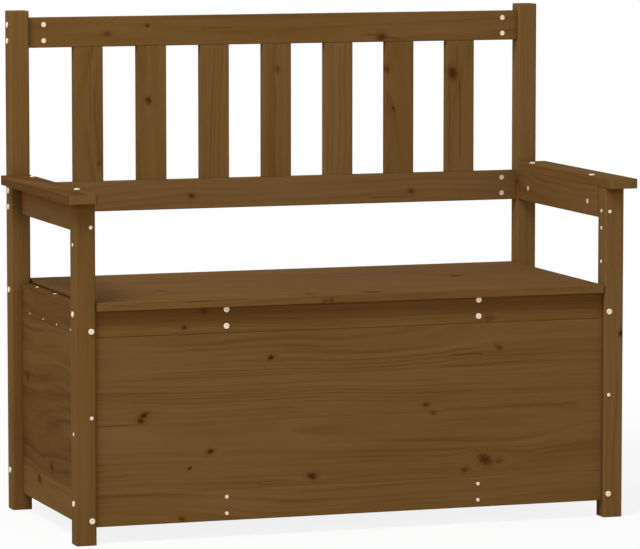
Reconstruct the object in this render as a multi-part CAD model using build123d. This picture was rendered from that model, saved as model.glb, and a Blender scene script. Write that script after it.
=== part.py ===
from build123d import *

import os

# A brown-stained pine storage bench: slatted back, two armrests, and a box under a hinged seat lid.
# Millimetres, +Z up, front towards -Y. Pieces are drawn with Y = 0 on the front faces of the front
# posts, and saved with the origin on the floor, under the middle of the whole bench.

# Overall sizes
WIDTH_OVER_POSTS = 1084.0
DEPTH_OVER_POSTS = 491.0
BACK_HEIGHT = 965.0
ARM_HEIGHT = 650.5
SEAT_RAIL_HEIGHT = 441.0
FLOOR_GAP = 32.0            # under the bottom rails
POST_RISE = 13.5            # back posts above the top rail

# Timber: square posts, and one board section for rails, slats and armrests
POST = 38.0
BOARD_WIDTH = 58.0
BOARD_THICKNESS = 18.0
POST_EASE = 2.5
POST_TOP_EASE = 1.25
BOARD_EASE = 0.8
ARM_OVERHANG = 22.0         # armrests in front of the front posts
ARM_CORNER = 7.0

# Slatted back
SLAT_COUNT = 7
SLAT_END_GAP = 91.6         # between a back post and the first slat
TENON_SHOULDER = 9.0
TENON_THICKNESS = 8.0
TENON_LENGTH = 12.0
TENON_CLEARANCE = 0.15

# Box walls: panels tongued into grooved rails
TONGUE_THICKNESS = 6.0
TONGUE_LENGTH = 7.0
TONGUE_CLEARANCE = 0.15
GROOVE_SPARE = 0.4          # groove deeper than its tongue

# Cross rails and floor of the box
CROSS_RAIL_SETBACK = 254.0  # middle of a cross rail from the inner faces of the posts
FLOOR_THICKNESS = 12.0
FLOOR_BOARD_COUNT = 4
FLOOR_BOARD_GAP = 2.5
FLOOR_END_GAP = 1.5
CLEAT = 18.0

# Lid
LID_THICKNESS = 7.0
LID_REST_GAP = 0.2
LID_SIDE_GAP = 2.0
LID_STRIP_THICKNESS = 7.0
LID_STRIP_DROP = 8.7        # strip below the underside of the lid
LID_EASE = 1.0

# Butt hinges at the back of the lid, both leaves let into the rear rail
HINGE_SETBACK = 174.0       # middle of a hinge from the inner faces of the posts
HINGE_LENGTH = 60.0
LEAF_WIDTH = 14.0
LEAF_THICKNESS = 1.4
LEAF_GAP = 0.2
KNUCKLE_COUNT = 3
KNUCKLE_RADIUS = 2.5
KNUCKLE_GAP = 0.3
PIN_DIAMETER = 2.6
PIN_CLEARANCE = 0.05
MORTISE_SPARE = 0.3
HINGE_SCREW_X = 20.0        # either side of the middle of the hinge
HINGE_SCREW_DIAMETER = 3.0
HINGE_SCREW_HEAD = 5.4
HINGE_SCREW_HEAD_HEIGHT = 0.9
FRAME_LEAF_SCREW_LENGTH = 16.0
LID_LEAF_SCREW_LENGTH = 5.5

# Bolts, barrel nuts and screws
FASTENER_SPREAD = 31.0      # between the two places across a rail
BOLT_DIAMETER = 6.0
BOLT_HEAD_DIAMETER = 12.0
BOLT_HEAD_HEIGHT = 2.2
BOLT_SOCKET = 4.0
BOLT_SOCKET_DEPTH = 1.5
BOLT_SOCKET_SIDES = 6
BOLT_GRIP = 42.0            # length beyond the first piece
NUT_DIAMETER = 10.0
NUT_SETBACK = 31.5          # from the end of the rail
NUT_REACH = 5.0             # past the axis of the bolt
ARM_BOLT_SETBACK = 53.0     # armrest bolts from the posts
SCREW_DIAMETER = 4.0
SCREW_HEAD_DIAMETER = 7.5
SCREW_HEAD_HEIGHT = 1.0
SCREW_GRIP = 32.0
PANEL_SCREW_RISE = 115.5    # front panel's screws above its lower edge
SIDE_SCREW_RISE = 146.5     # side panels' screws above their lower edge
RAIL_SCREW_COUNT = 3        # down through each side top rail
RAIL_SCREW_PITCH = 127.0
HEAD_SIDES = 8              # heads and nuts have flats in place of a round, to keep the model light
SHANK_SIDES = 6             # and so have the hidden shanks with their holes
SHANK_CLEARANCE = 0.25
THREAD_CLEARANCE = 0.05
NUT_CLEARANCE = 0.1
CUT_EXTRA = 1.0             # cutters reach past the faces they open

# Faces that the pieces share
HALF_WIDTH = WIDTH_OVER_POSTS / 2
INNER = HALF_WIDTH - POST
RAIL_INSET = (POST - BOARD_THICKNESS) / 2
BACK_FACE = DEPTH_OVER_POSTS
FRONT_WALL = (RAIL_INSET, RAIL_INSET + BOARD_THICKNESS)
REAR_WALL = (BACK_FACE - RAIL_INSET - BOARD_THICKNESS, BACK_FACE - RAIL_INSET)
FRONT_MIDDLE = sum(FRONT_WALL) / 2
REAR_MIDDLE = sum(REAR_WALL) / 2
SIDE_MIDDLE = INNER + BOARD_THICKNESS / 2
SIDE_RUN = (POST, BACK_FACE - POST)
BETWEEN_WALLS = (FRONT_WALL[1], REAR_WALL[0])
SLAT_PITCH = (2 * (INNER - SLAT_END_GAP) - BOARD_WIDTH) / (SLAT_COUNT - 1)
CROSS_RAIL_X = INNER - CROSS_RAIL_SETBACK
HINGE_X = INNER - HINGE_SETBACK
TOP_RAIL = (BACK_HEIGHT - POST_RISE - BOARD_WIDTH, BACK_HEIGHT - POST_RISE)
ARM_UNDERSIDE = ARM_HEIGHT - BOARD_THICKNESS
ARM_RAIL = (ARM_UNDERSIDE - BOARD_WIDTH, ARM_UNDERSIDE)
SEAT_RAIL = (SEAT_RAIL_HEIGHT - BOARD_WIDTH, SEAT_RAIL_HEIGHT)
BOTTOM_RAIL = (FLOOR_GAP, FLOOR_GAP + BOARD_WIDTH)
LID_UNDERSIDE = SEAT_RAIL_HEIGHT + LID_REST_GAP
HINGE_Z = LID_UNDERSIDE - LEAF_THICKNESS - LEAF_GAP / 2
HINGE_Y = REAR_WALL[1] + KNUCKLE_GAP + KNUCKLE_RADIUS
MIDDLE_Y = (BACK_FACE + BOLT_HEAD_HEIGHT - ARM_OVERHANG) / 2
SIDES = {"left": -1, "right": 1}
LOWER_EDGES = slice(0, 2)   # of the four long edges of a board, lowest first
UPPER_EDGES = slice(2, 4)
ALL_EDGES = slice(0, 4)

wood = {}
metal = {}
bores = []


def block(x, y, z):
    """A plain block between three pairs of faces."""
    spans = (x, y, z)
    centre = [(low + high) / 2 for low, high in spans]
    return Pos(*centre) * Box(*[high - low for low, high in spans])


def board(x, y, z, ease=BOARD_EASE, eased=ALL_EDGES):
    """A planed board between three pairs of faces, with all or some of its long edges eased."""
    lengths = [high - low for low, high in (x, y, z)]
    long_axis = (Axis.X, Axis.Y, Axis.Z)[lengths.index(max(lengths))]
    return chamfer(block(x, y, z).edges().filter_by(long_axis).sort_by(Axis.Z)[eased], ease)


def around(middle, width):
    return (middle - width / 2, middle + width / 2)


def on_side(sign, near, far):
    """A span across X on the left or the right of the middle."""
    return tuple(sorted((sign * near, sign * far)))


def grown(span, clearance):
    return (span[0] - clearance, span[1] + clearance)


def across(rail):
    """The lower and the upper fastener height of a rail."""
    return around(sum(rail) / 2, FASTENER_SPREAD)


# Posts

def post(sign, y, height):
    body = board(on_side(sign, INNER, HALF_WIDTH), y, (0, height), POST_EASE)
    return chamfer(body.faces().sort_by(Axis.Z)[-1].edges(), POST_TOP_EASE)


for side, sign in SIDES.items():
    wood[f"front_post_{side}"] = post(sign, (0, POST), ARM_UNDERSIDE)
    wood[f"back_post_{side}"] = post(sign, (BACK_FACE - POST, BACK_FACE), BACK_HEIGHT)


# Back rails and slats

def slat_tenon(middle, z, clearance):
    width = BOARD_WIDTH - 2 * TENON_SHOULDER
    return block(
        grown(around(middle, width), clearance),
        grown(around(REAR_MIDDLE, TENON_THICKNESS), clearance),
        grown(z, clearance),
    )


back_top_rail = board((-INNER, INNER), REAR_WALL, TOP_RAIL)
back_lower_rail = board((-INNER, INNER), REAR_WALL, ARM_RAIL, eased=LOWER_EDGES)
upper_tenon = (TOP_RAIL[0], TOP_RAIL[0] + TENON_LENGTH)
lower_tenon = (ARM_RAIL[1] - TENON_LENGTH, ARM_RAIL[1])
for number in range(SLAT_COUNT):
    middle = (number - (SLAT_COUNT - 1) / 2) * SLAT_PITCH
    slat = board(around(middle, BOARD_WIDTH), REAR_WALL, (ARM_RAIL[1], TOP_RAIL[0]))
    slat += slat_tenon(middle, upper_tenon, 0) + slat_tenon(middle, lower_tenon, 0)
    wood[f"back_slat_{number + 1}"] = slat
    back_top_rail -= slat_tenon(middle, upper_tenon, TENON_CLEARANCE)
    back_lower_rail -= slat_tenon(middle, lower_tenon, TENON_CLEARANCE)
wood["back_top_rail"] = back_top_rail
wood["back_lower_rail"] = back_lower_rail


# Armrests on their rails

def armrest(sign):
    x = on_side(sign, INNER, INNER + BOARD_WIDTH)
    body = block(x, (-ARM_OVERHANG, SIDE_RUN[1]), (ARM_UNDERSIDE, ARM_HEIGHT))
    body = fillet(body.edges().filter_by(Axis.Z).group_by(Axis.Y)[0], ARM_CORNER)
    top_rim = body.faces().sort_by(Axis.Z)[-1].edges()
    back_end = body.faces().sort_by(Axis.Y)[-1].edges()
    return chamfer(top_rim - back_end, BOARD_EASE)


for side, sign in SIDES.items():
    wood[f"armrest_{side}"] = armrest(sign)
    rail_x = on_side(sign, INNER, INNER + BOARD_THICKNESS)
    wood[f"arm_rail_{side}"] = board(rail_x, SIDE_RUN, ARM_RAIL, eased=LOWER_EDGES)


# Box walls, each a top rail, a bottom rail and a tongued panel

def wall(length):
    """The three pieces of a wall along X, centred on the origin in plan."""
    run = around(0, length)
    faces = around(0, BOARD_THICKNESS)
    tongue = around(0, TONGUE_THICKNESS)
    open_run = grown(run, CUT_EXTRA)
    groove = grown(tongue, TONGUE_CLEARANCE)
    depth = TONGUE_LENGTH + GROOVE_SPARE
    upper, lower = SEAT_RAIL[0], BOTTOM_RAIL[1]
    upper_groove = block(open_run, groove, (upper - CUT_EXTRA, upper + depth))
    lower_groove = block(open_run, groove, (lower - depth, lower + CUT_EXTRA))
    upper_tongue = block(run, tongue, (upper, upper + TONGUE_LENGTH))
    lower_tongue = block(run, tongue, (lower - TONGUE_LENGTH, lower))
    return {
        "top_rail": board(run, faces, SEAT_RAIL) - upper_groove,
        "bottom_rail": board(run, faces, BOTTOM_RAIL, eased=LOWER_EDGES) - lower_groove,
        "panel": board(run, faces, (lower, upper), eased=UPPER_EDGES) + upper_tongue + lower_tongue,
    }


long_wall = wall(2 * INNER)
short_wall = wall(SIDE_RUN[1] - SIDE_RUN[0])
side_place = Rot(0, 0, 90)
for piece, shape in long_wall.items():
    wood[f"front_{piece}"] = Pos(0, FRONT_MIDDLE, 0) * shape
    wood[f"rear_{piece}"] = Pos(0, REAR_MIDDLE, 0) * shape
for piece, shape in short_wall.items():
    for side, sign in SIDES.items():
        place = Pos(sign * SIDE_MIDDLE, sum(SIDE_RUN) / 2, 0) * side_place
        wood[f"{side}_side_{piece}"] = place * shape


# Cross rails under the seat and under the floor boards

for side, sign in SIDES.items():
    rail_x = around(sign * CROSS_RAIL_X, BOARD_THICKNESS)
    wood[f"seat_cross_rail_{side}"] = board(rail_x, BETWEEN_WALLS, SEAT_RAIL)
    wood[f"floor_cross_rail_{side}"] = board(rail_x, BETWEEN_WALLS, BOTTOM_RAIL)
    cleat_x = on_side(sign, INNER - CLEAT, INNER)
    cleat_z = (BOTTOM_RAIL[1] - CLEAT, BOTTOM_RAIL[1])
    wood[f"floor_cleat_{side}"] = board(cleat_x, SIDE_RUN, cleat_z)

floor_depth = BETWEEN_WALLS[1] - BETWEEN_WALLS[0]
floor_pitch = (floor_depth - FLOOR_BOARD_GAP) / FLOOR_BOARD_COUNT
for number in range(FLOOR_BOARD_COUNT):
    near = BETWEEN_WALLS[0] + FLOOR_BOARD_GAP + number * floor_pitch
    wood[f"floor_board_{number + 1}"] = board(
        around(0, 2 * (INNER - FLOOR_END_GAP)),
        (near, near + floor_pitch - FLOOR_BOARD_GAP),
        (BOTTOM_RAIL[1], BOTTOM_RAIL[1] + FLOOR_THICKNESS),
    )


# Lid: a thin panel, and a front strip that hangs before the front rail

lid_x = around(0, 2 * (INNER - LID_SIDE_GAP))
lid_top = LID_UNDERSIDE + LID_THICKNESS
lid_panel = block(lid_x, (LID_STRIP_THICKNESS, REAR_WALL[1]), (LID_UNDERSIDE, lid_top))
lid_rim = lid_panel.faces().sort_by(Axis.Z)[-1].edges().sort_by(Axis.Y)[1:]
wood["lid_panel"] = chamfer(lid_rim, LID_EASE)
strip_z = (LID_UNDERSIDE - LID_STRIP_DROP, lid_top)
lid_strip = block(lid_x, (0, LID_STRIP_THICKNESS), strip_z)
strip_nose = lid_strip.faces().sort_by(Axis.Y)[0].edges().filter_by(Axis.X)
wood["lid_front_strip"] = chamfer(strip_nose, BOARD_EASE)


# Hinges

def along_x(x, diameter):
    """A round bar on the hinge axis."""
    low, high = x
    start = Plane(origin=(low, HINGE_Y, HINGE_Z), z_dir=(1, 0, 0))
    return start.location * extrude(Circle(diameter / 2), high - low)


def hinge_leaf(middle, first_knuckle, z):
    """One leaf with every other knuckle, let in from the back of the rear rail."""
    x = around(middle, HINGE_LENGTH)
    plate_end = HINGE_Y - KNUCKLE_RADIUS - KNUCKLE_GAP
    leaf = block(x, (plate_end - LEAF_WIDTH, plate_end), z)
    pitch = (HINGE_LENGTH + KNUCKLE_GAP) / KNUCKLE_COUNT
    for number in range(first_knuckle, KNUCKLE_COUNT, 2):
        start = x[0] + number * pitch
        knuckle_x = (start, start + pitch - KNUCKLE_GAP)
        finger = block(knuckle_x, (plate_end, HINGE_Y), z)
        leaf += finger + along_x(knuckle_x, 2 * KNUCKLE_RADIUS)
    return leaf - along_x(grown(x, CUT_EXTRA), PIN_DIAMETER + 2 * PIN_CLEARANCE)


frame_leaf_z = (HINGE_Z - LEAF_GAP / 2 - LEAF_THICKNESS, HINGE_Z - LEAF_GAP / 2)
lid_leaf_z = (HINGE_Z + LEAF_GAP / 2, LID_UNDERSIDE)
for side, sign in SIDES.items():
    hinge_x = around(sign * HINGE_X, HINGE_LENGTH)
    metal[f"hinge_frame_leaf_{side}"] = hinge_leaf(sign * HINGE_X, 0, frame_leaf_z)
    metal[f"hinge_lid_leaf_{side}"] = hinge_leaf(sign * HINGE_X, 1, lid_leaf_z)
    metal[f"hinge_pin_{side}"] = along_x(hinge_x, PIN_DIAMETER)
    leaf_front = HINGE_Y - KNUCKLE_RADIUS - KNUCKLE_GAP - LEAF_WIDTH
    wood["rear_top_rail"] -= block(
        grown(hinge_x, MORTISE_SPARE),
        (leaf_front - MORTISE_SPARE, HINGE_Y),
        (frame_leaf_z[0], SEAT_RAIL_HEIGHT + CUT_EXTRA),
    )


# Fasteners

def shank(diameter, length):
    """A hidden shank or its hole, running down from the origin."""
    return extrude(RegularPolygon(diameter / 2, SHANK_SIDES), -length)


def disc(diameter, height):
    """A head or a nut, or the hole for one, standing on the origin."""
    return extrude(RegularPolygon(diameter / 2, HEAD_SIDES), height)


def bolt(length):
    head = disc(BOLT_HEAD_DIAMETER, BOLT_HEAD_HEIGHT)
    socket = extrude(RegularPolygon(BOLT_SOCKET / 2, BOLT_SOCKET_SIDES), -BOLT_SOCKET_DEPTH)
    return head - Pos(0, 0, BOLT_HEAD_HEIGHT) * socket + shank(BOLT_DIAMETER, length)


def screw(head_diameter, head_height, diameter, length):
    return disc(head_diameter, head_height) + shank(diameter, length)


def drive(node, fastener, diameter, length, point, outward):
    """Seat a fastener with its head on a face, and keep the hole that it needs."""
    seat = Plane(origin=point, z_dir=outward).location
    metal.setdefault(node, []).append(seat * fastener)
    hole = shank(diameter + 2 * SHANK_CLEARANCE, length + SHANK_CLEARANCE + CUT_EXTRA)
    bores.append(seat * Pos(0, 0, CUT_EXTRA) * hole)
    return seat


def drive_bolt(node, point, outward, through):
    length = through + BOLT_GRIP
    return drive(node, bolt(length), BOLT_DIAMETER, length, point, outward)


def drive_screw(node, point, outward, through, grip=SCREW_GRIP):
    length = through + grip
    shape = screw(SCREW_HEAD_DIAMETER, SCREW_HEAD_HEIGHT, SCREW_DIAMETER, length)
    drive(node, shape, SCREW_DIAMETER, length, point, outward)


def add_barrel_nut(bolt_seat, through, face_normal):
    """A cross nut on a bolt, set flush into the face of the rail that the bolt holds."""
    axis_point = bolt_seat * Pos(0, 0, -through - NUT_SETBACK)
    mouth = Vector(*axis_point.position) + Vector(*face_normal) * (BOARD_THICKNESS / 2)
    seat = Plane(origin=mouth, z_dir=face_normal).location
    length = BOARD_THICKNESS / 2 + NUT_REACH
    blank = seat * disc(NUT_DIAMETER, -length)
    thread = bolt_seat * shank(BOLT_DIAMETER + 2 * THREAD_CLEARANCE, through + BOLT_GRIP + CUT_EXTRA)
    metal.setdefault("barrel_nuts", []).append(blank - thread)
    hole = disc(NUT_DIAMETER + 2 * NUT_CLEARANCE, -(length + NUT_CLEARANCE + CUT_EXTRA))
    bores.append(seat * Pos(0, 0, CUT_EXTRA) * hole)


FRONT, BACK, UP, DOWN = (0, -1, 0), (0, 1, 0), (0, 0, 1), (0, 0, -1)
seat_low, seat_high = across(SEAT_RAIL)
bottom_low, bottom_high = across(BOTTOM_RAIL)
arm_low = across(ARM_RAIL)[0]
panel_foot = BOTTOM_RAIL[1]

for side, sign in SIDES.items():
    outward = (sign, 0, 0)
    inward = (-sign, 0, 0)
    outer_x = sign * HALF_WIDTH
    side_x = sign * SIDE_MIDDLE
    cross_x = sign * CROSS_RAIL_X

    # Back rails: two bolts in each end, with barrel nuts in the front faces
    for z in across(TOP_RAIL) + across(ARM_RAIL):
        seat = drive_bolt("back_rail_bolts", (outer_x, REAR_MIDDLE, z), outward, POST)
        add_barrel_nut(seat, POST, FRONT)

    # Armrests: bolts down into the arm rails, with barrel nuts in the inner faces
    for y in (SIDE_RUN[0] + ARM_BOLT_SETBACK, SIDE_RUN[1] - ARM_BOLT_SETBACK):
        seat = drive_bolt("armrest_bolts", (side_x, y, ARM_HEIGHT), UP, BOARD_THICKNESS)
        add_barrel_nut(seat, BOARD_THICKNESS, inward)

    # Box rails: front and rear rails at the upper places, side rails at the lower ones
    for y in (FRONT_MIDDLE, REAR_MIDDLE):
        for z in (seat_high, bottom_high):
            drive_bolt("box_rail_bolts", (outer_x, y, z), outward, POST)
    for z in (seat_low, bottom_low):
        drive_bolt("box_rail_bolts", (side_x, 0, z), FRONT, POST)
        drive_bolt("box_rail_bolts", (side_x, BACK_FACE, z), BACK, POST)

    # Cross rails: bolts under the seat, screws at the floor
    for z in (seat_low, seat_high):
        drive_bolt("cross_rail_bolts", (cross_x, FRONT_WALL[0], z), FRONT, BOARD_THICKNESS)
        drive_bolt("cross_rail_bolts", (cross_x, REAR_WALL[1], z), BACK, BOARD_THICKNESS)
    for z in (bottom_low, bottom_high):
        drive_screw("floor_rail_screws", (cross_x, FRONT_WALL[0], z), FRONT, BOARD_THICKNESS)
        drive_screw("floor_rail_screws", (cross_x, REAR_WALL[1], z), BACK, BOARD_THICKNESS)

    # Arm rails and panel ends: screws through the posts
    drive_screw("post_screws", (side_x, 0, arm_low), FRONT, POST)
    drive_screw("post_screws", (side_x, BACK_FACE, sum(ARM_RAIL) / 2), BACK, POST)
    drive_screw("post_screws", (side_x, 0, panel_foot + SIDE_SCREW_RISE), FRONT, POST)
    drive_screw("post_screws", (side_x, BACK_FACE, panel_foot + SIDE_SCREW_RISE), BACK, POST)
    drive_screw("post_screws", (outer_x, FRONT_MIDDLE, panel_foot + PANEL_SCREW_RISE), outward, POST)

    # Side top rails: screws down into the panel
    for number in range(RAIL_SCREW_COUNT):
        y = sum(SIDE_RUN) / 2 + (number - (RAIL_SCREW_COUNT - 1) / 2) * RAIL_SCREW_PITCH
        drive_screw("side_rail_screws", (side_x, y, SEAT_RAIL_HEIGHT), UP, BOARD_WIDTH)

    # Hinge leaves: sunk screws into the rear rail and into the lid
    leaf_y = HINGE_Y - KNUCKLE_RADIUS - KNUCKLE_GAP - LEAF_WIDTH / 2
    for offset in (-HINGE_SCREW_X, HINGE_SCREW_X):
        x = sign * HINGE_X + offset
        for leaf, z, facing, length in (
            ("frame", frame_leaf_z[1], UP, FRAME_LEAF_SCREW_LENGTH),
            ("lid", lid_leaf_z[0], DOWN, LID_LEAF_SCREW_LENGTH),
        ):
            shape = Pos(0, 0, -HINGE_SCREW_HEAD_HEIGHT) * screw(
                HINGE_SCREW_HEAD, HINGE_SCREW_HEAD_HEIGHT, HINGE_SCREW_DIAMETER,
                length - HINGE_SCREW_HEAD_HEIGHT)
            seat = drive(f"hinge_{leaf}_screws", shape, HINGE_SCREW_DIAMETER, length, (x, leaf_y, z), facing)
            sink = seat * disc(HINGE_SCREW_HEAD + 2 * THREAD_CLEARANCE, -HINGE_SCREW_HEAD_HEIGHT)
            metal[f"hinge_{leaf}_leaf_{side}"] -= [sink, bores[-1]]


# Drill every wooden piece for the fasteners that pass into it

def meets(first, second):
    """Whether two boxes overlap."""
    return all(
        low < other_high and other_low < high
        for low, high, other_low, other_high in zip(
            first.min, first.max, second.min, second.max)
    )


bore_boxes = [bore.bounding_box() for bore in bores]
for node, piece in wood.items():
    box = piece.bounding_box()
    cuts = [bore for bore, bore_box in zip(bores, bore_boxes) if meets(box, bore_box)]
    if cuts:
        wood[node] = piece - cuts

# Save one file for each piece or group of fasteners

os.makedirs("parts", exist_ok=True)
for node, shape in (wood | metal).items():
    solids = shape if isinstance(shape, list) else [shape]
    placed = [Pos(0, -MIDDLE_Y, 0) * solid for solid in solids]
    export_step(placed[0] if len(placed) == 1 else Compound(children=placed), f"parts/{node}.step")
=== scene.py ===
"""Looks of a brown-stained pine storage bench: wood grain and knots, plated fasteners, studio light."""

import math
import random

import bmesh
import bpy
from mathutils import Matrix, Vector


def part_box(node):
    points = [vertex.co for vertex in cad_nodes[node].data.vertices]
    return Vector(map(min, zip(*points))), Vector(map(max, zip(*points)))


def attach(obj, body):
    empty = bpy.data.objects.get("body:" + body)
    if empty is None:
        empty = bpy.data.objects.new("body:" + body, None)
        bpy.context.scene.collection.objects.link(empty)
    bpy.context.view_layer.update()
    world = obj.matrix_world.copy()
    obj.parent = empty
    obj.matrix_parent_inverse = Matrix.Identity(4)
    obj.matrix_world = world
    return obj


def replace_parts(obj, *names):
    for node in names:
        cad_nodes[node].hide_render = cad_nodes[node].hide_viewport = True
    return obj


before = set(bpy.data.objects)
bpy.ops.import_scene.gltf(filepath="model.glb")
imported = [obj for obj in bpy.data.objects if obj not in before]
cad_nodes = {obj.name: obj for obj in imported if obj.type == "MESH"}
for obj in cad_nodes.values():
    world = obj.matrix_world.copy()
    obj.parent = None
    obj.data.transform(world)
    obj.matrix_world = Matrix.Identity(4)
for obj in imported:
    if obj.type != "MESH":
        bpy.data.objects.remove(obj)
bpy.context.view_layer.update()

MM = 0.001
WHITE = (1.0, 1.0, 1.0, 1.0)
SIDES = (("left", -1), ("right", 1))

# Camera at the photograph's viewing angle, in metres, degrees and millimetres of film
CAMERA_PLACE = (-2.705, -7.914, 1.326)
CAMERA_YAW = 18.94
CAMERA_PITCH = 5.90
CAMERA_LENS = 246.6
CAMERA_SENSOR = 36.0
CAMERA_CLIP = 500.0

# Light from all round, and how steep its direction is where the horizon's level turns to the zenith's
HORIZON_LEVEL = 0.95
ZENITH_LEVEL = 0.10
STEEPNESS = (0.2, 0.8)
BACK_SHARE = 1.45           # of that light behind the bench
FRONT_SHARE = 1.33          # and before it

# Soft lamp at the upper left
KEY_FROM = (-0.45, -0.35, 0.82)
KEY_AIM = (0.0, 0.0, 0.45)
KEY_DISTANCE = 4.5
KEY_SIZE = 2.2
KEY_POWER = 155.0

# Floor
FLOOR_REACH = 80.0
FLOOR_ALBEDO = 0.64
FLOOR_SEEN_ALBEDO = 0.90
FLOOR_WHITE_SHARE = 0.86    # near the bench, where its shadow falls
FLOOR_NEAR = 0.9            # metres from the bench's middle, up to which that share holds
FLOOR_FAR = 2.2             # and from which the floor is all white


def srgb(red, green, blue):
    """A colour written in screen values of 0 to 255, as linear values with alpha."""
    def linear(value):
        share = value / 255
        return share / 12.92 if share <= 0.04045 else ((share + 0.055) / 1.055) ** 2.4
    return (linear(red), linear(green), linear(blue), 1.0)


# Colours of the stained pine
PINE_LIGHT = srgb(121, 91, 57)
PINE_MIDDLE = srgb(107, 77, 39)
PINE_DARK = srgb(80, 51, 20)
PINE_WORN = srgb(124, 94, 56)
# painted shade: the redder, darker colour put where other wood hangs over or closes in
PINE_PAINTED_SHADE = srgb(108, 60, 19)
# painted shade in inner corners and joints
PINE_CORNER_SHADE = srgb(62, 34, 10)
RESIN = srgb(58, 32, 11)
KNOT_RIM = srgb(82, 46, 15)
KNOT_HEART = srgb(52, 24, 6)
END_GRAIN = srgb(112, 83, 46)

# Noises of the grain, per metre: along the grain, across it and through the board
PITH_DRIFT_SCALES = (1.4, 0.6, 0.6)
RING_WOBBLE_SCALES = (4, 45, 45)
RING_PATCH_SCALES = (2.2, 26, 26)
FIBRE_SCALES = (9, 520, 520)
BLOTCH_SCALES = (3.2, 17, 17)
STREAK_SCALES = (1.8, 170, 1)   # along the grain, out from the heart and from seed to seed
RING_UNEVEN_SCALE = 60          # out from the heart
RESIN_WANDER_SCALES = (14, 0, 0)
KNOT_RAGGED_SCALES = (150, 240, 0)
SEED_SHIFT = (3.1, 0.7, 1.3)    # how far a seed moves the noises, in metres
SEED_RANGE = 40
BOARD_SEED_STEP = 1.37          # from board to board of a panel

# Rings of the tree, and where its heart lies: across a board from its middle, through it from zero
RING_WIDTH = 4.5 * MM
RING_WOBBLE = 4 * MM
RING_UNEVENNESS = 2.0           # in ring widths
LATE_WOOD = (0.25, 0.86)        # where in a ring the dark wood begins, and where it is darkest
RING_PATCHES = (0.35, 0.68)     # noise from faint rings to clear ones
RING_PATCH_SHARES = (0.15, 1.0)
PITH_DRIFT = 35 * MM
PITH_SIDEWAYS = (30 * MM, 130 * MM)
PITH_DEPTH = (40 * MM, 90 * MM)

# How much each part of the figure moves the stain between dark and light
MIDDLE_LEVEL = 0.5              # between dark at 0 and light at 1
BLOTCH_SHARE = 0.40
STREAK_SHARE = 0.62
FIBRE_SHARE = 0.26
BOARD_SHARE = 0.10
RING_SHARE = 0.20
RING_MEAN = 0.25                # of the rings' strength over a board
TONE_SPREAD = 0.05              # of boards without a tone of their own

# Knots: where their parts fade out, in knot radii, and how dark they are
KNOT_STRETCH = 1.3              # of a knot along the grain
KNOT_SLANT = 0.5                # most slant of a knot, as a share of its width
KNOT_RAGGEDNESS = 1.4
KNOT_HALO_FADE = (0.8, 2.8)
KNOT_RIM_FADE = (0.7, 1.7)
KNOT_HEART_FADE = (0.2, 1.2)
KNOT_HALO_SHARE = 0.40
KNOT_RIM_SHARE = 0.70
KNOT_HEART_SHARE = 0.85
BEND_STRETCH = 3.0              # of the bent grain round a knot
BEND_FADE = (0.4, 3.2)
BEND_SHARE = 0.85

# Small knots on boards that have none listed, in millimetres
KNOT_SPACING = 420
KNOT_END_MARGIN = 40
KNOT_EDGE_MARGIN = 4
KNOT_RADII = (2.5, 5)
KNOT_DARKNESS = (0.4, 1.0)

# Resin lines, glue lines and end grain
RESIN_FADE = 14 * MM            # at both ends of a resin line
RESIN_WANDER = 5 * MM
SEAM_WIDTH = 0.8 * MM
SEAM_PATCHES = (0.4, 0.6)       # blotches from faint glue lines to clear ones
SEAM_SHARES = (0.15, 0.6)
END_GRAIN_FACING = (0.75, 0.95)
END_GRAIN_SHARE = 0.8

# Edges where the stain is worn, painted shade in inner corners, and wood painted redder where it lies in
# shade
NEAR_SAMPLES = 4
WEAR_RADIUS = 2.5 * MM
WEAR_BEND = (0.985, 0.85)       # cosine of the bend at an edge, from unworn to worn
WEAR_PATCHES = (0.35, 0.7)
WEAR_SHARES = (0.1, 0.6)
# Painted shade in inner corners and joints, where other wood is within reach
CORNER_REACH = 6 * MM
CORNER_OPENNESS = (0.45, 0.95)
CORNER_SHARE = 0.14
# Painted shade: redder where other wood hangs over a board, or in its deepest corners
SHADE_REACH = 45 * MM
OVERHUNG_OPENNESS = (0.50, 1.0)
DEEP_OPENNESS = (0.10, 0.44)    # of boards that aren't overhung: only their deepest corners
SHADE_SHARE = 0.90

# Surface of the pine
RING_HEIGHT = 0.6
FIBRE_HEIGHT = 0.8
KNOT_SINK = 0.5
PINE_BUMP_STRENGTH = 0.35
PINE_BUMP_HEIGHT = 0.4 * MM
PINE_ROUGHNESS = (0.78, 0.90)   # from dark stain to light stain
ROUGHNESS_LEVELS = (0.2, 0.9)
PINE_SPECULAR = 0.012

# Glue lines across each wide panel, in millimetres
SEAMS = {
    "front_panel": (219, 301), "rear_panel": (172, 290), "left_side_panel": (180, 268),
    "right_side_panel": (205, 310), "lid_panel": (-134, -39, 56, 151),
}

# How much lighter or darker some boards are than the others: partly their own tone, partly painted light,
# which darkens the lid and armrests lit from above and lightens the arm rails, back posts and back lower
# rail that lie in shade
TONES_AND_PAINTED_LIGHT = {
    "lid_panel": -0.10, "lid_front_strip": -0.08, "armrest_left": -0.34, "armrest_right": -0.08,
    "arm_rail_left": 0.24, "arm_rail_right": 0.04, "front_top_rail": 0.02, "front_panel": 0.01,
    "back_lower_rail": 0.24, "back_slat_5": 0.24, "back_slat_1": 0.06, "back_slat_7": 0.14,
    "back_post_left": 0.08, "back_post_right": 0.10, "front_post_left": -0.03, "front_post_right": 0.14,
    "left_side_panel": -0.23, "left_side_top_rail": -0.22,
}

# Boards painted with redder shade where something hangs over them, above a height in millimetres
OVERHUNG = {
    "front_top_rail": 0, "arm_rail_left": 0, "arm_rail_right": 0,
    "front_post_left": 540, "front_post_right": 540,
}

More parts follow.
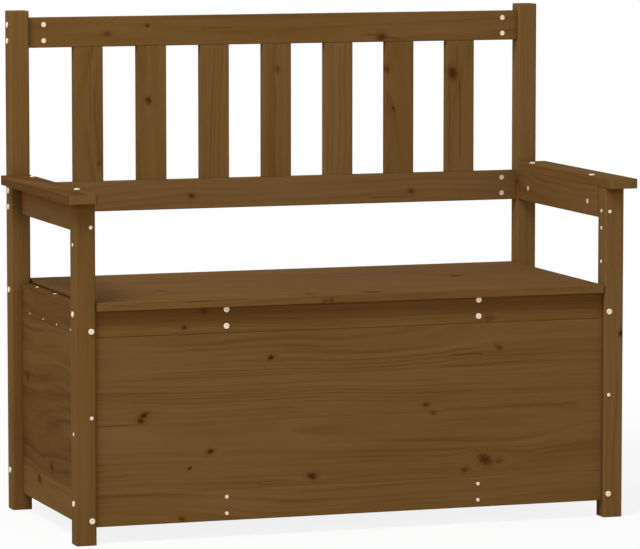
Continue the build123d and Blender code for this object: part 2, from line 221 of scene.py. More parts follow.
# A shadow of the lid's strip is painted on the front top rail as a darker band: how far below the rail's
# top it begins and ends
STRIP_SHADOW_BEGINS = (11 * MM, 23 * MM)
STRIP_SHADOW_ENDS = (30 * MM, 48 * MM)
STRIP_SHADOW_SHARE = 0.46

# Square posts whose knots are placed across their depth. On other square posts it is across their width
KNOTS_ACROSS_DEPTH = ("back_post_left", "back_post_right")

# Knots that show, in millimetres: place along the grain, place across it, radius; and how dark
KNOTS = {
    "front_panel": [
        (-410, 236, 6, 1.0), (-416, 226, 5, 0.9), (-163, 334, 4.5, 1.0), (-282, 163, 5, 0.9),
        (-322, 133, 3, 1.0), (-82, 107, 7, 0.9), (292, 335, 5, 0.6), (145, 233, 5, 0.6),
        (159, 216, 4.5, 0.5), (264, 122, 10, 0.8), (292, 119, 6, 0.35), (223, 104, 6, 0.45),
    ],
    "front_bottom_rail": [(-338, 39, 5, 0.7)],
    "front_top_rail": [(-293, 426, 5, 0.9), (-332, 396, 3.5, 0.9), (272, 392, 8, 0.35)],
    "left_side_panel": [(177, 265, 6, 1.0), (9, 112, 7, 1.0)],
    "left_side_bottom_rail": [(96, 78, 8, 0.9)],
    "back_top_rail": [(-345, 918, 6, 0.5), (-265, 933, 3, 1.0), (217, 903, 8, 0.75)],
    "back_lower_rail": [(-176, 599, 5, 0.7), (280, 596, 5, 0.6)],
    "back_slat_1": [(668, -362, 5, 0.45)],
    "back_slat_2": [(788, -263, 6, 0.85)],
    "back_slat_3": [],
    "back_slat_4": [(844, 1, 6, 0.45)],
    "back_slat_5": [],
    "back_slat_6": [(840, 229, 6, 0.6), (762, 242, 3, 1.0)],
    "back_slat_7": [(829, 367, 10, 0.85)],
    "lid_panel": [(-81, -205, 9, 0.7), (40, -214, 12, 1.0), (292, 10, 12, 1.0), (-330, -65, 8, 0.6)],
    "lid_front_strip": [(-60, 437, 4, 0.5), (-48, 438, 4, 0.6)],
    "armrest_left": [],
    "armrest_right": [],
    "arm_rail_left": [],
    "arm_rail_right": [],
    "front_post_left": [],
    "front_post_right": [(354, 537.5, 5, 1.0)],
    "back_post_left": [],
    "back_post_right": [(611, 222, 4, 1.0)],
}

# Resin lines along the grain, in millimetres: start, end, place across, width; and how dark
RESIN_LINES = {
    "front_panel": [
        (-520, -418, 219, 1.5, 0.7), (190, 266, 325, 1.6, 0.7), (170, 242, 304, 1.4, 0.6),
        (174, 456, 222, 3.0, 0.35), (-330, -282, 354, 1.6, 0.5), (-194, -135, 97, 2.0, 0.4),
    ],
    "back_top_rail": [(-160, -82, 926, 1.3, 0.6), (176, 216, 908, 2.0, 0.6), (218, 262, 901, 2.0, 0.6)],
    "back_lower_rail": [(186, 290, 586, 1.8, 0.5)],
    "back_slat_1": [(705, 870, -380, 1.8, 0.45)],
    "back_slat_7": [(652, 822, 383, 1.6, 0.8), (834, 890, 376, 1.6, 0.6), (640, 810, 360, 1.5, 0.5)],
    "lid_panel": [(-100, -45, -110, 7.0, 0.5)],
    "lid_front_strip": [(-335, -275, 445, 2.0, 0.6), (-480, -410, 441, 1.6, 0.5)],
}

# Plated steel
STEEL_DARK = srgb(230, 212, 186)
STEEL_LIGHT = srgb(248, 231, 205)
STEEL_MOTTLE_SCALES = (900, 900, 900)
STEEL_MOTTLE = (0.3, 0.7)
STEEL_METALLIC = 0.25
STEEL_ROUGHNESS = (0.34, 0.5)
STEEL_ROUGHNESS_MOTTLE = (0.25, 0.75)
STEEL_BUMP_STRENGTH = 0.15
STEEL_BUMP_HEIGHT = 0.05 * MM

# Fasteners, in millimetres
SEGMENTS = 48
BOLT_HEAD = 11.0
BOLT_RISE = 2.2
BOLT_SHANK = 6.0
BOLT_TIP = 4.8
BOLT_TAPER = 1.0
BOLT_HEX = 4.2
SCREW_HEAD = 6.9
SCREW_RISE = 1.0
SCREW_SHANK = 4.0
SCREW_TIP_SHARE = 0.3
SCREW_TAPER = 2.0
CROSS_ARM = 3.6
CROSS_WIDTH = 1.0
HINGE_SCREW_HEAD = 5.4
HINGE_SCREW_RISE = 0.9
HINGE_SCREW_SHANK = 3.0
NUT_DIAMETER = 10.0
NUT_BACK = 9.0
NUT_BACK_TAPER = 0.5
NUT_FACE = 9.4
NUT_FACE_TAPER = 0.4
SLOT_LENGTH = 8.0
SLOT_DEPTH = 1.2
SLOT_FLOOR_SHARE = 0.97
PIN_HEAD = 3.8
PIN_RISE = 0.5

# Profiles of heads and of their recesses: shares of the width and of the rise
BOLT_PROFILE = ((1.0, 0.0), (1.0, 0.5), (0.97, 0.78), (0.90, 0.94), (0.80, 1.0))
SOCKET_PROFILE = ((1.16, 1.0), (1.0, 0.84), (1.0, 0.25))
SCREW_PROFILE = ((1.0, 0.0), (1.0, 0.45), (0.93, 0.82), (0.78, 1.0))
CROSS_PROFILE = ((1.0, 1.0), (0.6, 0.1))
PIN_PROFILE = ((1.0, 0.4), (0.9, 0.8), (0.6, 1.0))

# Reading and shading of the fasteners
SAME_POINT = 0.001 * MM
HEAD_SHARE = 0.9                # of the widest radius, past which a point belongs to the head
SHARP_ANGLE = 32                # degrees past which two faces don't blend
TINY = 1e-6                     # keeps a division from meeting zero

# Small pins along the lower edge of the side top rails, and discs in the front posts, in millimetres
PIN_COUNT = 4
PIN_FIRST = 70.6                # from the front end of the rail
PIN_PITCH = 95.0
PIN_EDGE = 5.5                  # above the lower edge of the rail
POST_DISC_SETBACK = 19.5        # from the front faces of the posts
INNER_DISC_HEIGHTS = (491.0, 555.5, 588.0)
OUTER_DISC_HEIGHTS = (555.5,)
SMALL_DEPTH = 6.0               # of these pins and discs in the wood


# Shader building

def new_tree(name):
    """A new material and its empty node tree."""
    material = bpy.data.materials.new(name)
    material.use_nodes = True
    material.node_tree.nodes.clear()
    return material, material.node_tree


def add(tree, kind, inputs=None, **settings):
    """A shader node with its settings, and its inputs given as values or as links."""
    node = tree.nodes.new(kind)
    for name, value in settings.items():
        setattr(node, name, value)
    for name, value in (inputs or {}).items():
        socket = node.inputs[name]
        if isinstance(value, bpy.types.NodeSocket):
            tree.links.new(value, socket)
        else:
            socket.default_value = value
    return node


def calc(tree, operation, *values):
    """The result of a math node on numbers or sockets."""
    node = add(tree, "ShaderNodeMath", dict(enumerate(values)), operation=operation)
    return node.outputs[0]


def centred(tree, value, width):
    """A value of 0 to 1 spread over a width, half of it below zero."""
    return calc(tree, "MULTIPLY_ADD", value, width, -width / 2)


def ramp(tree, value, start, end, low=0.0, high=1.0):
    """A value eased from low to high as it passes from start to end."""
    node = add(tree, "ShaderNodeMapRange", {
        "Value": value, "From Min": start, "From Max": end, "To Min": low, "To Max": high,
    }, interpolation_type="SMOOTHSTEP")
    return node.outputs["Result"]


def mix(tree, share, first, second):
    """A colour between two colours, which are sockets 6 and 7 of the node, with the result in 2."""
    return add(tree, "ShaderNodeMix", {0: share, 6: first, 7: second}, data_type="RGBA").outputs[2]


def split(tree, vector):
    """The three parts of a vector."""
    return add(tree, "ShaderNodeSeparateXYZ", {"Vector": vector}).outputs


def join(tree, x, y=0.0, z=0.0):
    """A vector from its parts."""
    return add(tree, "ShaderNodeCombineXYZ", {"X": x, "Y": y, "Z": z}).outputs[0]


def length(tree, vector):
    """The length of a vector."""
    return add(tree, "ShaderNodeVectorMath", {0: vector}, operation="LENGTH").outputs["Value"]


def noise(tree, place, scales, detail=2.0, roughness=0.5):
    """Noise that is stretched by its own scale along each axis, per metre."""
    stretched = add(tree, "ShaderNodeVectorMath", {0: place, 1: scales}, operation="MULTIPLY")
    return add(tree, "ShaderNodeTexNoise", {
        "Vector": stretched.outputs[0], "Scale": 1.0, "Detail": detail, "Roughness": roughness,
    }).outputs


def chances(tree, seed):
    """Chances between 0 and 1 that hang on a seed: one as Value, three as Color."""
    return add(tree, "ShaderNodeTexWhiteNoise", {"W": seed}, noise_dimensions="1D").outputs


# Figure of the pine

def heart_distance(tree, board_place, noise_place, seed):
    """Distance from the wandering heart of the tree, which runs along the grain."""
    parts = split(tree, board_place)
    drift = split(tree, noise(tree, noise_place, PITH_DRIFT_SCALES)["Color"])
    chance = split(tree, chances(tree, seed)["Color"])
    near, far = PITH_SIDEWAYS
    side = centred(tree, chance[0], 2 * (far - near))
    side = calc(tree, "MULTIPLY_ADD", calc(tree, "SIGN", side), near, side)
    sideways = calc(tree, "ADD", centred(tree, drift[0], PITH_DRIFT), side)
    least, most = PITH_DEPTH
    mean_depth = calc(tree, "MULTIPLY_ADD", chance[1], most - least, least)
    depth = calc(tree, "ADD", centred(tree, drift[1], PITH_DRIFT), mean_depth)
    offset = join(tree, calc(tree, "ADD", parts[1], sideways), calc(tree, "ADD", parts[2], depth))
    wobble = noise(tree, noise_place, RING_WOBBLE_SCALES, detail=3)["Fac"]
    return calc(tree, "ADD", length(tree, offset), centred(tree, wobble, RING_WOBBLE))


def growth_rings(tree, radius, place, seed):
    """The dark late wood of the rings, clear in some patches and faint in others."""
    uneven = add(tree, "ShaderNodeTexNoise", {
        "W": calc(tree, "MULTIPLY_ADD", radius, RING_UNEVEN_SCALE, seed), "Scale": 1.0, "Detail": 1.0,
    }, noise_dimensions="1D").outputs["Fac"]
    even = calc(tree, "DIVIDE", radius, RING_WIDTH)
    phase = calc(tree, "FRACT", calc(tree, "ADD", even, centred(tree, uneven, RING_UNEVENNESS)))
    begins, darkest = LATE_WOOD
    darker = ramp(tree, phase, begins, darkest)
    late = calc(tree, "MULTIPLY", darker, ramp(tree, phase, darkest, 1.0, 1.0, 0.0))
    patches = noise(tree, place, RING_PATCH_SCALES)["Fac"]
    return calc(tree, "MULTIPLY", late, ramp(tree, patches, *RING_PATCHES, *RING_PATCH_SHARES))


def pine_figure():
    """Node group with the rings, streaks, fibres and blotches of sawn pine at a place in a board."""
    group = bpy.data.node_groups.new("Pine figure", "ShaderNodeTree")
    for name, kind in (("Place", "NodeSocketVector"), ("Seed", "NodeSocketFloat")):
        group.interface.new_socket(name, in_out="INPUT", socket_type=kind)
    for name in ("Rings", "Streaks", "Fibres", "Blotches"):
        group.interface.new_socket(name, in_out="OUTPUT", socket_type="NodeSocketFloat")
    inputs = add(group, "NodeGroupInput").outputs
    seed = inputs["Seed"]
    shift = join(group, *(calc(group, "MULTIPLY", seed, share) for share in SEED_SHIFT))
    shifted = add(group, "ShaderNodeVectorMath", {0: inputs["Place"], 1: shift}, operation="ADD")
    place = shifted.outputs[0]
    radius = heart_distance(group, inputs["Place"], place, seed)
    line = join(group, split(group, place)["X"], radius, seed)
    add(group, "NodeGroupOutput", {
        "Rings": growth_rings(group, radius, place, seed),
        "Streaks": noise(group, line, STREAK_SCALES, detail=3, roughness=0.62)["Fac"],
        "Fibres": noise(group, place, FIBRE_SCALES, detail=2, roughness=0.6)["Fac"],
        "Blotches": noise(group, place, BLOTCH_SCALES, detail=3, roughness=0.55)["Fac"],
    })
    return group


# Knots, resin and glue lines

def some_knots(rng, low, high, order):
    """A few small knots on a board that has none listed."""
    spans = [(low[axis] / MM, high[axis] / MM) for axis in order[:2]]
    count = max(1, round((spans[0][1] - spans[0][0]) / KNOT_SPACING))
    knots = []
    for _ in range(count):
        along = rng.uniform(spans[0][0] + KNOT_END_MARGIN, spans[0][1] - KNOT_END_MARGIN)
        across = rng.uniform(spans[1][0] + KNOT_EDGE_MARGIN, spans[1][1] - KNOT_EDGE_MARGIN)
        knots.append((along, across, rng.uniform(*KNOT_RADII), rng.uniform(*KNOT_DARKNESS)))
    return knots


def oval(tree, along, across, radius, stretch):
    """Distance from a middle in radii, which are stretched along the grain."""
    scaled = join(tree, calc(tree, "DIVIDE", along, radius * stretch), calc(tree, "DIVIDE", across, radius))
    return length(tree, scaled)


def knot_field(tree, along, across, knots, rng):
    """The darkness of the knots' rims and hearts, and how far the grain is pushed aside round them."""
    rims, hearts, push = 0.0, 0.0, 0.0
    uneven = noise(tree, join(tree, along, across), KNOT_RAGGED_SCALES, detail=4, roughness=0.6)["Fac"]
    ragged = centred(tree, uneven, KNOT_RAGGEDNESS)
    for knot_along, knot_across, radius, dark in knots:
        before = calc(tree, "SUBTRACT", along, knot_along * MM)
        beside = calc(tree, "SUBTRACT", across, knot_across * MM)
        slanted = calc(tree, "MULTIPLY_ADD", beside, rng.uniform(-KNOT_SLANT, KNOT_SLANT), before)
        away = calc(tree, "ADD", oval(tree, slanted, beside, radius * MM, KNOT_STRETCH), ragged)
        halo = ramp(tree, away, *KNOT_HALO_FADE, KNOT_HALO_SHARE * dark, 0.0)
        rim = calc(tree, "MAXIMUM", halo, ramp(tree, away, *KNOT_RIM_FADE, dark, 0.0))
        rims = calc(tree, "MAXIMUM", rims, rim)
        hearts = calc(tree, "MAXIMUM", hearts, ramp(tree, away, *KNOT_HEART_FADE, dark, 0.0))
        bent = oval(tree, before, beside, radius * MM, BEND_STRETCH)
        push = calc(tree, "MULTIPLY_ADD", beside, ramp(tree, bent, *BEND_FADE, BEND_SHARE, 0.0), push)
    return rims, hearts, push


def resin_field(tree, along, across, lines):
    """The darkness of thin resin lines that wander a little across the grain."""
    wander = noise(tree, join(tree, along), RESIN_WANDER_SCALES)["Fac"]
    waved = calc(tree, "ADD", across, centred(tree, wander, RESIN_WANDER))
    field = 0.0
    for start, end, place, width, dark in lines:
        begun = ramp(tree, along, start * MM, start * MM + RESIN_FADE)
        ended = ramp(tree, along, end * MM - RESIN_FADE, end * MM, 1.0, 0.0)
        beside = calc(tree, "ABSOLUTE", calc(tree, "SUBTRACT", waved, place * MM))
        line = calc(tree, "MULTIPLY", begun, ramp(tree, beside, 0.0, width * MM, dark, 0.0))
        field = calc(tree, "MAXIMUM", field, calc(tree, "MULTIPLY", line, ended))
    return field


def glued_boards(tree, across, edges, seed):
    """For boards glued edge to edge: place across each board, the lines between them, a seed for each."""
    middles = [(near + far) / 2 for near, far in zip(edges, edges[1:])]
    number = 0.0
    seam = 0.0
    local = calc(tree, "SUBTRACT", across, middles[0])
    for index, edge in enumerate(edges[1:-1]):
        past = calc(tree, "GREATER_THAN", across, edge)
        number = calc(tree, "ADD", number, past)
        local = calc(tree, "MULTIPLY_ADD", past, middles[index] - middles[index + 1], local)
        line = calc(tree, "ABSOLUTE", calc(tree, "SUBTRACT", across, edge))
        seam = calc(tree, "MAXIMUM", seam, ramp(tree, line, 0.0, SEAM_WIDTH, 1.0, 0.0))
    return local, seam, calc(tree, "MULTIPLY_ADD", number, BOARD_SEED_STEP, seed)


# Stain

def stain_level(tree, grain, board_seed, tone):
    """Where the wood lies between dark stain at 0 and light stain at 1."""
    level = MIDDLE_LEVEL + tone + RING_SHARE * RING_MEAN
    for value, share in (
        (grain["Blotches"], BLOTCH_SHARE), (grain["Streaks"], STREAK_SHARE),
        (grain["Fibres"], FIBRE_SHARE), (chances(tree, board_seed)["Value"], BOARD_SHARE),
    ):
        level = calc(tree, "ADD", level, centred(tree, value, share))
    return calc(tree, "MULTIPLY_ADD", grain["Rings"], -RING_SHARE, level)


def stain_colour(tree, level):
    """The colour of a level of stain."""
    colours = add(tree, "ShaderNodeValToRGB", {"Fac": level})
    stops = colours.color_ramp.elements
    stops[0].position, stops[0].color = 0.0, PINE_DARK
    stops[1].position, stops[1].color = 1.0, PINE_LIGHT
    stops.new(MIDDLE_LEVEL).color = PINE_MIDDLE
    return colours.outputs["Color"]


def worn_share(tree, rounded, blotches):
    """How far the stain is worn off, which it is in patches along the edges."""
    normal = add(tree, "ShaderNodeNewGeometry").outputs["Normal"]
    bend = add(tree, "ShaderNodeVectorMath", {0: rounded, 1: normal}, operation="DOT_PRODUCT")
    edge = ramp(tree, bend.outputs["Value"], *WEAR_BEND)
    return calc(tree, "MULTIPLY", edge, ramp(tree, blotches, *WEAR_PATCHES, *WEAR_SHARES))


def openness(tree, reach):
    """1 on open wood, and less where other wood is within reach."""
    return add(tree, "ShaderNodeAmbientOcclusion", {"Distance": reach}, samples=NEAR_SAMPLES).outputs["AO"]


def painted_shade_share(tree, node, height):
    """How far the wood is painted redder and darker as shade, under an overhang or else in the deepest
    corners.
    """
    opened = openness(tree, SHADE_REACH)
    if node not in OVERHUNG:
        return ramp(tree, opened, *DEEP_OPENNESS, SHADE_SHARE, 0.0)
    lowest = OVERHUNG[node] * MM
    above = ramp(tree, height, lowest, lowest + SHADE_REACH)
    return calc(tree, "MULTIPLY", above, ramp(tree, opened, *OVERHUNG_OPENNESS, SHADE_SHARE, 0.0))


def strip_shadow_share(tree, below_top):
    """How far the front top rail is darker in a band below the lid's strip, a painted shadow of the strip.
    """
    begun = ramp(tree, below_top, *STRIP_SHADOW_BEGINS)
    return calc(tree, "MULTIPLY", begun, ramp(tree, below_top, *STRIP_SHADOW_ENDS, STRIP_SHADOW_SHARE, 0.0))


def grain_bump(tree, grain, hearts, rounded):
    """The surface direction over raised rings and fibres and sunk knots."""
    fibres = calc(tree, "MULTIPLY", grain["Fibres"], FIBRE_HEIGHT)
    height = calc(tree, "MULTIPLY_ADD", grain["Rings"], RING_HEIGHT, fibres)
    height = calc(tree, "SUBTRACT", height, calc(tree, "MULTIPLY", hearts, KNOT_SINK))
    return add(tree, "ShaderNodeBump", {
        "Strength": PINE_BUMP_STRENGTH, "Distance": PINE_BUMP_HEIGHT, "Height": height, "Normal": rounded,
    }).outputs["Normal"]


# Pine of each board

def grain_order(node, low, high):
    """The axes along, across and through a board: its longest side, the next and the shortest.

    Sides that differ by less than a tenth of a millimetre count as equal.
    """
    second = 1 if node in KNOTS_ACROSS_DEPTH else 0
    return sorted(range(3), key=lambda axis: (round(low[axis] - high[axis], 4), axis != second))


def pine(node, figure, rng):
    """The stained pine of one board or glued panel, its grain along the longest side."""
    material, tree = new_tree("Pine " + node)
    low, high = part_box(node)
    order = grain_order(node, low, high)
    coordinates = add(tree, "ShaderNodeTexCoord").outputs
    place = split(tree, coordinates["Object"])
    along, across, through = (place[axis] for axis in order)
    # A listed tone is partly painted light; other boards take a random tone
    tone = TONES_AND_PAINTED_LIGHT.get(node, rng.uniform(-TONE_SPREAD, TONE_SPREAD))
    seed = rng.uniform(0, SEED_RANGE)

    seams = [seam * MM for seam in SEAMS.get(node, ())]
    local, seam, board_seed = glued_boards(tree, across, [low[order[1]], *seams, high[order[1]]], seed)
    knots = KNOTS[node] if node in KNOTS else some_knots(rng, low, high, order)
    rims, hearts, push = knot_field(tree, along, across, knots, rng)
    grown = join(tree, along, calc(tree, "SUBTRACT", local, push), through)
    grain = add(tree, "ShaderNodeGroup", {"Place": grown, "Seed": board_seed}, node_tree=figure).outputs

    level = stain_level(tree, grain, board_seed, tone)
    colour = stain_colour(tree, level)
    facing = calc(tree, "ABSOLUTE", split(tree, coordinates["Normal"])[order[0]])
    colour = mix(tree, ramp(tree, facing, *END_GRAIN_FACING, 0.0, END_GRAIN_SHARE), colour, END_GRAIN)
    if seams:
        patchy = ramp(tree, grain["Blotches"], *SEAM_PATCHES, *SEAM_SHARES)
        colour = mix(tree, calc(tree, "MULTIPLY", seam, patchy), colour, PINE_DARK)
    if node in RESIN_LINES:
        colour = mix(tree, resin_field(tree, along, across, RESIN_LINES[node]), colour, RESIN)
    colour = mix(tree, calc(tree, "MULTIPLY", rims, KNOT_RIM_SHARE), colour, KNOT_RIM)
    colour = mix(tree, calc(tree, "MULTIPLY", hearts, KNOT_HEART_SHARE), colour, KNOT_HEART)

    rounded = add(tree, "ShaderNodeBevel", {"Radius": WEAR_RADIUS}, samples=NEAR_SAMPLES).outputs["Normal"]
    colour = mix(tree, worn_share(tree, rounded, grain["Blotches"]), colour, PINE_WORN)
    # Painted shade, redder under overhangs and in the deepest corners
    colour = mix(tree, painted_shade_share(tree, node, place["Z"]), colour, PINE_PAINTED_SHADE)
    # Painted shadow of the lid's strip on the front top rail
    if node == "front_top_rail":
        below_top = calc(tree, "SUBTRACT", high.z, place["Z"])
        colour = mix(tree, strip_shadow_share(tree, below_top), colour, PINE_DARK)
    # Painted shade in inner corners and joints
    corner_shade = ramp(tree, openness(tree, CORNER_REACH), *CORNER_OPENNESS, CORNER_SHARE, 0.0)
    colour = mix(tree, corner_shade, colour, PINE_CORNER_SHADE)

    surface = add(tree, "ShaderNodeBsdfPrincipled", {
        "Base Color": colour,
        "Roughness": ramp(tree, level, *ROUGHNESS_LEVELS, *PINE_ROUGHNESS),
        "Specular IOR Level": PINE_SPECULAR,
        "Normal": grain_bump(tree, grain, hearts, rounded),
    })
    add(tree, "ShaderNodeOutputMaterial", {"Surface": surface.outputs[0]})
    return material


# Plated steel

def plated_steel():
    """Pale plated steel with a fine mottle."""
    material, tree = new_tree("Plated steel")
    coordinates = add(tree, "ShaderNodeTexCoord").outputs["Object"]
    mottle = noise(tree, coordinates, STEEL_MOTTLE_SCALES, detail=3)["Fac"]
    bump = add(tree, "ShaderNodeBump", {
        "Strength": STEEL_BUMP_STRENGTH, "Distance": STEEL_BUMP_HEIGHT, "Height": mottle,
    })
    surface = add(tree, "ShaderNodeBsdfPrincipled", {
        "Base Color": mix(tree, ramp(tree, mottle, *STEEL_MOTTLE), STEEL_DARK, STEEL_LIGHT),
        "Metallic": STEEL_METALLIC,
        "Roughness": ramp(tree, mottle, *STEEL_ROUGHNESS_MOTTLE, *STEEL_ROUGHNESS),
        "Normal": bump.outputs["Normal"],
    })
    add(tree, "ShaderNodeOutputMaterial", {"Surface": surface.outputs[0]})
    return material


# Outlines of turned fasteners: distances from the middle, all round

ANGLES = [2 * math.pi * step / SEGMENTS for step in range(SEGMENTS)]


def circle(diameter):
    return [diameter / 2] * SEGMENTS


def hexagon(flats):
    sixth = math.pi / 3
    return [flats / 2 / math.cos(angle % sixth - sixth / 2) for angle in ANGLES]


def bar(long_side, short_side):
    """A long narrow recess."""
    to_ends = [long_side / 2 / max(abs(math.cos(angle)), TINY) for angle in ANGLES]
    to_sides = [short_side / 2 / max(abs(math.sin(angle)), TINY) for angle in ANGLES]
    return [min(pair) for pair in zip(to_ends, to_sides)]


def cross(long_side, short_side):
    """Two bars across each other."""
    level = bar(long_side, short_side)
    quarter = SEGMENTS // 4
    upright = level[-quarter:] + level[:-quarter]
    return [max(pair) for pair in zip(level, upright)]


def shrunk(outline, share):
    return [radius * share for radius in outline]


# Rings of turned fasteners: outlines with their heights above the wood, from the inner end outwards

def profiled(outline, rise, profile):
    """Rings of a head or a recess after its profile."""
    return [(shrunk(outline, width), rise * height) for width, height in profile]


def shank_rings(shank, tip, taper, depth):
    return [(circle(tip), -depth), (circle(shank), -depth + taper), (circle(shank), 0)]


def bolt_rings(depth):
    """A bolt with a low round head and a hexagon socket."""
    return [
        *shank_rings(BOLT_SHANK, BOLT_TIP, BOLT_TAPER, depth),
        *profiled(circle(BOLT_HEAD), BOLT_RISE, BOLT_PROFILE),
        *profiled(hexagon(BOLT_HEX), BOLT_RISE, SOCKET_PROFILE),
    ]


def screw_rings(depth, head=SCREW_HEAD, rise=SCREW_RISE, shank=SCREW_SHANK):
    """A screw with a flat round head and a cross recess."""
    scale = head / SCREW_HEAD
    return [
        *shank_rings(shank, shank * SCREW_TIP_SHARE, SCREW_TAPER, depth),
        *profiled(circle(head), rise, SCREW_PROFILE),
        *profiled(cross(CROSS_ARM * scale, CROSS_WIDTH * scale), rise, CROSS_PROFILE),
    ]


def hinge_screw_rings(depth):
    return screw_rings(depth, HINGE_SCREW_HEAD, HINGE_SCREW_RISE, HINGE_SCREW_SHANK)


def nut_rings(depth):
    """A barrel nut with a screwdriver slot, its outer face level with the wood."""
    slot = bar(SLOT_LENGTH, SLOT_LENGTH * math.tan(2 * math.pi / SEGMENTS))
    return [
        (circle(NUT_BACK), -depth), (circle(NUT_DIAMETER), -depth + NUT_BACK_TAPER),
        (circle(NUT_DIAMETER), -NUT_FACE_TAPER), (circle(NUT_FACE), 0),
        (slot, 0), (shrunk(slot, SLOT_FLOOR_SHARE), -SLOT_DEPTH),
    ]


def pin_rings(depth):
    """A plain pin with a slightly domed end."""
    return [(circle(PIN_HEAD), -depth), *profiled(circle(PIN_HEAD), PIN_RISE, PIN_PROFILE)]


def turn(mesh, seat, outward, rings):
    """Add a closed turned solid to a mesh: rings in millimetres, along outward from its seat."""
    place = Matrix.Translation(seat) @ outward.to_track_quat("Z", "Y").to_matrix().to_4x4()
    loops = []
    for outline, height in rings:
        points = [
            Vector((radius * math.cos(angle), radius * math.sin(angle), height)) * MM
            for radius, angle in zip(outline, ANGLES)
        ]
        loops.append([mesh.verts.new(place @ point) for point in points])
    mesh.faces.new(reversed(loops[0]))
    mesh.faces.new(loops[-1])
    for lower, upper in zip(loops, loops[1:]):
        for step in range(SEGMENTS):
            following = (step + 1) % SEGMENTS
            mesh.faces.new((lower[step], lower[following], upper[following], upper[step]))


# Seats of the fasteners, read from the CAD solids

def solids(node):
    """The corner points of each separate solid of a CAD node."""
    mesh = bmesh.new()
    mesh.from_mesh(cad_nodes[node].data)
    bmesh.ops.remove_doubles(mesh, verts=mesh.verts, dist=SAME_POINT)
    waiting = set(mesh.verts)
    found = []
    while waiting:
        front = [waiting.pop()]
        points = []
        while front:
            vertex = front.pop()
            points.append(vertex.co.copy())
            near = [edge.other_vert(vertex) for edge in vertex.link_edges]
            fresh = [other for other in near if other in waiting]
            waiting.difference_update(fresh)
            front.extend(fresh)
        found.append(points)
    mesh.free()
    return sorted(found, key=lambda points: tuple(round(value, 4) for value in min(points)))


def axis_of(points):
    """The middle, long axis and length of a solid."""
    low = Vector(min(point[axis] for point in points) for axis in range(3))
    high = Vector(max(point[axis] for point in points) for axis in range(3))
    size = high - low
    axis = max(range(3), key=lambda number: size[number])
    direction = Vector((0, 0, 0))
    direction[axis] = 1
    return (low + high) / 2, direction, size[axis]


def headed(points):
    """Seat of the head, outward direction and shank length in millimetres of a bolt or screw."""
    middle, direction, extent = axis_of(points)

    def off_axis(point):
        offset = point - middle
        return (offset - direction * offset.dot(direction)).length

    head_radius = HEAD_SHARE * max(off_axis(point) for point in points)
    heights = [(point - middle).dot(direction) for point in points if off_axis(point) > head_radius]
    if sum(heights) < 0:
        direction = -direction
        heights = [-height for height in heights]
    seat = middle + direction * min(heights)
    return seat, direction, (min(heights) + extent / 2) / MM


def flush(points):
    """Face, outward direction and length in millimetres of a barrel nut, facing the front or the seat."""
    middle, direction, extent = axis_of(points)
    if direction.y:
        direction = Vector((0, -1, 0))
    else:
        direction = Vector((-math.copysign(1, middle.x), 0, 0))
    return middle + direction * extent / 2, direction, extent / MM


# Which rings and which reading of the CAD solids each group of fasteners takes, and its body
FASTENERS = {
    "back_rail_bolts": (bolt_rings, headed, "frame"),
    "armrest_bolts": (bolt_rings, headed, "frame"),
    "box_rail_bolts": (bolt_rings, headed, "frame"),
    "cross_rail_bolts": (bolt_rings, headed, "frame"),
    "floor_rail_screws": (screw_rings, headed, "frame"),
    "post_screws": (screw_rings, headed, "frame"),
    "side_rail_screws": (screw_rings, headed, "frame"),
    "barrel_nuts": (nut_rings, flush, "frame"),
    "hinge_frame_screws": (hinge_screw_rings, headed, "frame"),
    "hinge_lid_screws": (hinge_screw_rings, headed, "lid"),
}
HINGE_NODES = [
    f"hinge_{part}_{side}" for part in ("frame_leaf", "lid_leaf", "pin") for side, _ in SIDES
]
METAL = {*FASTENERS, *HINGE_NODES}


# Dressing of the CAD nodes

def dress(node, material):
    cad_nodes[node].data.materials.clear()
    cad_nodes[node].data.materials.append(material)


def dress_wood():
    figure = pine_figure()
    for number, node in enumerate(sorted(cad_nodes)):
        if node not in METAL:
            dress(node, pine(node, figure, random.Random(number)))


def piece_of(name, mesh, material, body):
    """A finished object from a bmesh, riding on a body."""
    bmesh.ops.recalc_face_normals(mesh, faces=mesh.faces)
    data = bpy.data.meshes.new(name)
    mesh.to_mesh(data)
    mesh.free()
    data.polygons.foreach_set("use_smooth", [True] * len(data.polygons))
    data.set_sharp_from_angle(angle=math.radians(SHARP_ANGLE))
    data.materials.append(material)
    piece = bpy.data.objects.new(name, data)
    bpy.context.scene.collection.objects.link(piece)
    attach(piece, body)
    return piece


def fit_fasteners(steel):
    """Turned fasteners in place of the CAD's flatted ones, and steel on the hinges."""
    for node, (rings, reading, body) in FASTENERS.items():
        mesh = bmesh.new()
        for points in solids(node):
            seat, outward, depth = reading(points)
            turn(mesh, seat, outward, rings(depth))
        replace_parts(piece_of(node + "_turned", mesh, steel, body), node)
    for node in HINGE_NODES:
        dress(node, steel)


def fit_panel_pins(steel):
    """A row of small pins along the lower edge of each side top rail."""
    mesh = bmesh.new()
    for side, facing in SIDES:
        low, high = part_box(f"{side}_side_top_rail")
        x = low.x if facing < 0 else high.x
        z = low.z + PIN_EDGE * MM
        for number in range(PIN_COUNT):
            y = low.y + (PIN_FIRST + number * PIN_PITCH) * MM
            turn(mesh, Vector((x, y, z)), Vector((facing, 0, 0)), pin_rings(SMALL_DEPTH))
    piece_of("panel_pins", mesh, steel, "frame")


def fit_post_discs(steel):
    """Small discs on the outer and inner faces of the front posts."""
    mesh = bmesh.new()
    for side, outward in SIDES:
        low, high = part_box(f"front_post_{side}")
        y = low.y + POST_DISC_SETBACK * MM
        for facing, heights in ((outward, OUTER_DISC_HEIGHTS), (-outward, INNER_DISC_HEIGHTS)):
            x = low.x if facing < 0 else high.x
            for height in heights:
                turn(mesh, Vector((x, y, height * MM)), Vector((facing, 0, 0)), screw_rings(SMALL_DEPTH))
    piece_of("post_discs", mesh, steel, "frame")


# Stage, light and camera

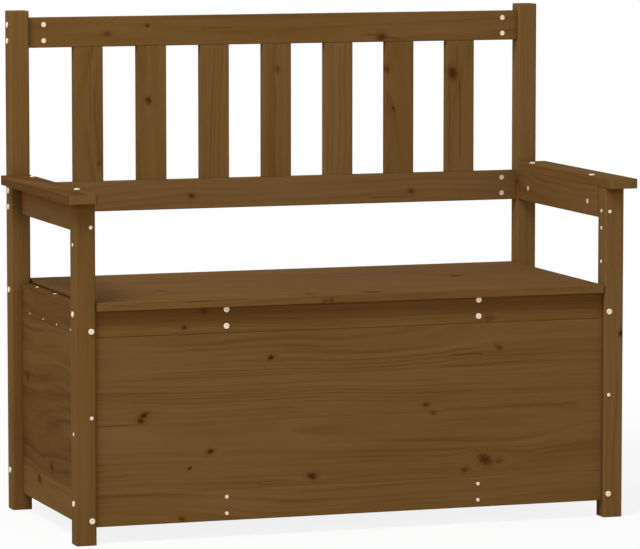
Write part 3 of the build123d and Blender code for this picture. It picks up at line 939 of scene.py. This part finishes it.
def seen(tree):
    """1 for rays that should meet a white background: straight to the camera, or in metal and glass."""
    path = add(tree, "ShaderNodeLightPath").outputs
    either = calc(tree, "MAXIMUM", path["Is Camera Ray"], path["Is Glossy Ray"])
    return calc(tree, "MAXIMUM", either, path["Is Transmission Ray"])


def grey(level):
    return (level, level, level, 1.0)


def lay_floor():
    """A pale floor that is seen as white, with a faint shadow near the bench."""
    material, tree = new_tree("Pale floor")
    background = seen(tree)
    reach = length(tree, add(tree, "ShaderNodeTexCoord").outputs["Object"])
    share = ramp(tree, reach, FLOOR_NEAR, FLOOR_FAR, FLOOR_WHITE_SHARE, 1.0)
    pale = mix(tree, background, grey(FLOOR_ALBEDO), grey(FLOOR_SEEN_ALBEDO))
    blend = add(tree, "ShaderNodeMixShader", {
        0: calc(tree, "MULTIPLY", background, share),
        1: add(tree, "ShaderNodeBsdfDiffuse", {"Color": pale}).outputs[0],
        2: add(tree, "ShaderNodeEmission", {"Color": WHITE, "Strength": 1.0}).outputs[0],
    })
    add(tree, "ShaderNodeOutputMaterial", {"Surface": blend.outputs[0]})
    mesh = bpy.data.meshes.new("floor")
    corners = [(x * FLOOR_REACH, y * FLOOR_REACH, 0) for x, y in ((-1, -1), (1, -1), (1, 1), (-1, 1))]
    mesh.from_pydata(corners, [], [(0, 1, 2, 3)])
    mesh.materials.append(material)
    floor = bpy.data.objects.new("floor", mesh)
    bpy.context.scene.collection.objects.link(floor)


def light_world():
    """Light from all round, strongest near the horizon, while the background is seen as white."""
    world = bpy.data.worlds.new("Studio")
    bpy.context.scene.world = world
    world.use_nodes = True
    tree = world.node_tree
    tree.nodes.clear()
    direction = split(tree, add(tree, "ShaderNodeTexCoord").outputs["Generated"])
    rise = ramp(tree, direction["Z"], *STEEPNESS, HORIZON_LEVEL, ZENITH_LEVEL)
    level = calc(tree, "MULTIPLY", rise, ramp(tree, direction["Y"], -1.0, 1.0, FRONT_SHARE, BACK_SHARE))
    blend = add(tree, "ShaderNodeMixShader", {
        0: seen(tree),
        1: add(tree, "ShaderNodeBackground", {"Color": WHITE, "Strength": level}).outputs[0],
        2: add(tree, "ShaderNodeBackground", {"Color": WHITE, "Strength": 1.0}).outputs[0],
    })
    add(tree, "ShaderNodeOutputWorld", {"Surface": blend.outputs[0]})


def hang_key_light():
    lamp = bpy.data.lights.new("Key", "AREA")
    lamp.shape = "DISK"
    lamp.size = KEY_SIZE
    lamp.energy = KEY_POWER
    key = bpy.data.objects.new("Key", lamp)
    towards = Vector(KEY_FROM).normalized()
    key.location = Vector(KEY_AIM) + towards * KEY_DISTANCE
    key.rotation_euler = towards.to_track_quat("Z", "Y").to_euler()
    bpy.context.scene.collection.objects.link(key)


def set_camera():
    data = bpy.data.cameras.new("Camera")
    data.lens = CAMERA_LENS
    data.sensor_width = CAMERA_SENSOR
    data.clip_end = CAMERA_CLIP
    camera = bpy.data.objects.new("Camera", data)
    camera.location = CAMERA_PLACE
    camera.rotation_euler = (math.radians(90 - CAMERA_PITCH), 0, math.radians(-CAMERA_YAW))
    bpy.context.scene.collection.objects.link(camera)
    bpy.context.scene.camera = camera


steel = plated_steel()
dress_wood()
fit_fasteners(steel)
fit_panel_pins(steel)
fit_post_discs(steel)
lay_floor()
light_world()
hang_key_light()
set_camera()
bpy.context.scene.view_settings.view_transform = "Standard"
